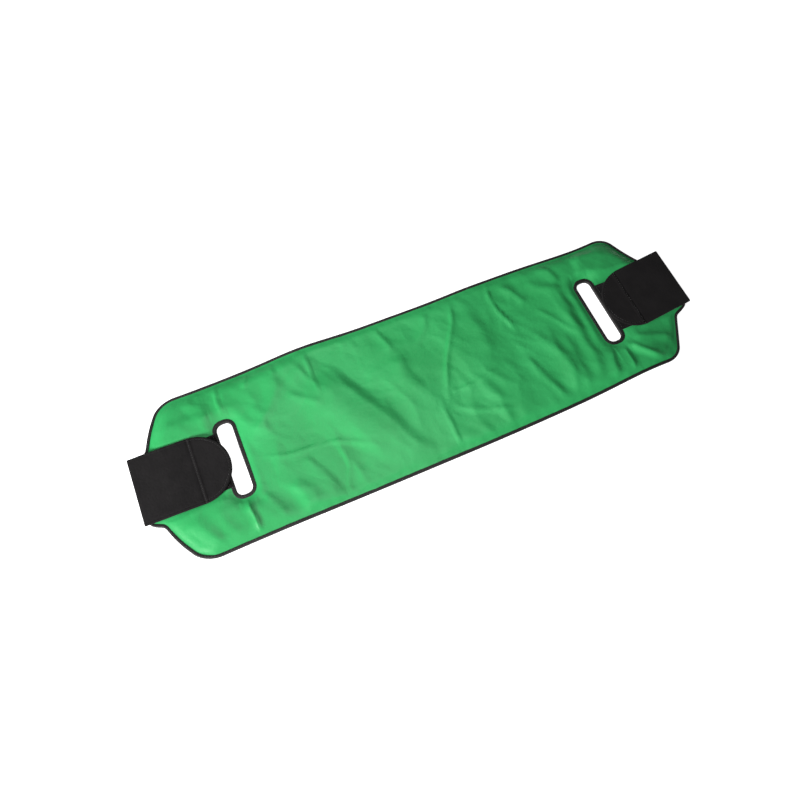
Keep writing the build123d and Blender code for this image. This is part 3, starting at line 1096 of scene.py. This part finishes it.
def makeTab(side, strap):
    sign, v, t = ends[side], strapValues, tabValues
    low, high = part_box(f"strap_tab_{side}")
    tip = min(abs(low.x), abs(high.x)) - v["tipReach"][side]
    seamX = max(abs(low.x), abs(high.x))
    radius = strap["width"] / 2
    centreX = tip + radius
    startAngle = math.acos(min(1, (centreX - seamX) / radius)) if centreX > seamX else math.pi / 2
    spread = [seamX - d * mm for d in t["seamSteps"]]
    spread += [centreX - radius * math.cos(a) for a in np.linspace(startAngle, 0.02, 34)]
    columns = []
    for x in sorted(spread, reverse=True):
        if not columns or columns[-1] - x > 0.00004:
            columns.append(x)
    across = strapAcross()
    top, bottom = [], []
    for x in columns:
        inset = seamX - x
        groove = 0.0006 * (bell(inset - 0.0036, 0.0014) - bell(inset, 0.0010))
        for y in across * halfChord(x, centreX, radius):
            gap = radius - math.hypot(min(0.0, x - centreX), y)
            rim = 1 - ease(gap / t["rimRound"])
            soft = noise.noise(Vector((x / 0.030, y / 0.030, 9.0 + sign)))
            lift = t["tipRise"] * ease(inset / 0.05) + 0.0002 * soft * ease(inset / 0.01)
            yy = y + strap["centreY"] + leanAt(side, strap, x)
            hem = 0.0004 * bell(gap - v["hemIn"], 0.0007)
            top.append((sign * x, yy, strap["top"] - 0.0009 * rim - hem + groove + lift))
            bottom.append((sign * x, yy, strap["bottom"] + 0.00025 * rim + lift))
    piece = skinnedPiece(f"strapTab_{side}", top, bottom, (len(columns), len(across)), looks["strapCloth"])
    ridePiece(piece, f"{side}_tab", "strap_webbing", f"strap_tab_{side}")
    # seam stitches, then hem stitches round the tip
    seamY = strap["centreY"] + leanAt(side, strap, seamX)
    spots = [
        (sign * (seamX - 0.0018), seamY + share * radius, strap["top"] + 0.0002)
        for share in np.linspace(-0.95, 0.95, 25)
    ]
    ahead = [(0, 1, 0)] * len(spots)
    reach = radius - v["hemIn"]
    for a in np.linspace(0.05, math.pi - 0.05, 36):
        x, y = centreX - reach * math.sin(a), reach * math.cos(a)
        if x > seamX - 0.002:
            continue
        rise = 0.0004 * ease((seamX - x) / 0.05) - 0.0002
        spots.append((sign * x, y + strap["centreY"] + leanAt(side, strap, x), strap["top"] + rise))
        ahead.append((sign * -math.cos(a), -math.sin(a), 0))
    thread = threadRow(f"tabStitches_{side}", spots, ahead, looks["sewingThread"], *t["stitch"])
    ridePiece(thread, f"{side}_tab", "thread", f"tab_seam_stitches_{side}")


patchValues = {
    "reach": 0.0036,                             # m, sewn right up to the slot binding
    "drop": {"left": 0.0, "right": 0.003},       # the right one sits a little low
    "pitch": 0.0018, "softEdge": 0.0016, "pile": 0.00018,
    "stitchIn": 0.003, "stitchPitch": 0.0038,
    "rootStitch": (0.0026, 0.0002),              # length and radius
}


def roundedSlab(name, low, high, material):
    # patch with soft edges between two corners
    v = patchValues
    nx, ny = (max(2, round((b - a) / v["pitch"])) for a, b in ((low.x, high.x), (low.y, high.y)))
    xs, ys = np.linspace(low.x, high.x, nx + 1), np.linspace(low.y, high.y, ny + 1)
    x, y = np.meshgrid(xs, ys, indexing="ij")
    gap = np.minimum(np.minimum(x - low.x, high.x - x), np.minimum(y - low.y, high.y - y))
    drop = (high.z - low.z) * 0.55 * (1 - smooth(gap / v["softEdge"]))
    top = high.z - drop + v["pile"] * cloudy(x, y, 0.0017, 8.1)
    return closedSlab(name, x, y, np.full_like(x, low.z), top, np.ones((nx, ny), bool), material)


def makePatches(side):
    v = patchValues
    low, high = (c.copy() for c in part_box(f"loop_patch_{side}"))
    if ends[side] > 0:
        low.x -= v["reach"]
    else:
        high.x += v["reach"]
    low.y -= v["drop"][side]
    high.y -= v["drop"][side]
    patch = roundedSlab(f"loopPatch_{side}", low, high, looks["loopPile"])
    ridePiece(patch, f"{side}_wing", "loop_pile", f"loop_patch_{side}")
    (x0, y0), (x1, y1) = ((c.x + d, c.y + d) for c, d in ((low, v["stitchIn"]), (high, -v["stitchIn"])))
    corners = [(x0, y0), (x1, y0), (x1, y1), (x0, y1)]
    spots, ahead = [], []
    for (ax, ay), (bx, by) in zip(corners, corners[1:] + corners[:1]):
        steps = round(math.dist((ax, ay), (bx, by)) / v["stitchPitch"])
        for i in range(steps):
            t = (i + 0.5) / steps
            spots.append((ax + (bx - ax) * t, ay + (by - ay) * t, high.z - 0.00005))
            ahead.append((bx - ax, by - ay, 0))
    thread = threadRow(f"loopPatchStitches_{side}", spots, ahead, looks["sewingThread"])
    ridePiece(thread, f"{side}_wing", "thread", f"loop_patch_stitches_{side}")
    # strap root stitches
    low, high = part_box(f"strap_root_stitches_{side}")
    spots = [(x, y, low.z - 0.0002) for x in (low.x, high.x) for y in np.linspace(low.y, high.y, 24)]
    ahead = [(0, 1, 0)] * len(spots)
    thread = threadRow(f"strapRootStitches_{side}", spots, ahead, looks["sewingThread"], *v["rootStitch"])
    ridePiece(thread, f"{side}_wing", "thread", f"strap_root_stitches_{side}")


hookValues = {
    "inset": 0.004, "backing": 0.0004, "pitch": 0.0021, "stem": 0.0003,
    # down a hook: how far down, and its half width and sideways slip as shares of the stem
    "steps": ((0.0, 1, 0), (0.00025, 0.7, 0), (0.0004, 0.9, 0.8)),
}


def makeHooks(side, strap):
    # hook patch: thin backing with rows of small hooks pointing down
    sign, v = ends[side], hookValues
    low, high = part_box(f"hook_patch_{side}")
    tip, endX = sorted((abs(low.x), abs(high.x)))
    radius = strap["width"] / 2 - v["inset"]
    centreX, centreY = tip + radius, strap["centreY"]
    columns = [centreX - radius * math.cos(a) for a in np.linspace(0.05, math.pi / 2, 20)]
    columns = [x for x in columns if x < endX] + [endX]
    across = np.linspace(-1, 1, 25)
    reach = [(x, halfChord(x, centreX, radius)) for x in columns]
    top = np.array([[(sign * x, centreY + chord * t, high.z) for t in across] for x, chord in reach])
    points, faces = slabSkins(top, top - np.array([0, 0, v["backing"]]))
    points, stem = list(points), v["stem"]
    for i, x in enumerate(np.arange(tip + 0.003, endX - 0.001, v["pitch"])):
        chord = halfChord(x, centreX, radius) - 0.002
        for y in np.arange(-chord, chord, v["pitch"]):
            faces += tubeFaces(len(points), 3, 4)
            cy = centreY + y + (v["pitch"] / 2 if i % 2 else 0)
            for drop, share, slip in v["steps"]:
                z, half = high.z - v["backing"] - drop, stem * share
                for dx, dy in ((-half, -half), (half, -half), (half, half), (-half, half)):
                    points.append((sign * x + dx, cy + dy + stem * slip, z))
    piece = outward(makeMesh(f"hookPatch_{side}", points, faces, looks["hookTape"]))
    ridePiece(piece, f"{side}_tab", "hook_tape", f"hook_patch_{side}")


for side in ends:
    strap = makeStrap(side)
    makeTab(side, strap)
    makePatches(side)
    makeHooks(side, strap)
print("straps, tabs and patches made")

for side in ends:
    node = frame["nodes"][f"slot_reinforcement_{side}"]
    node.data.materials.clear()
    node.data.materials.append(looks["stiffener"])
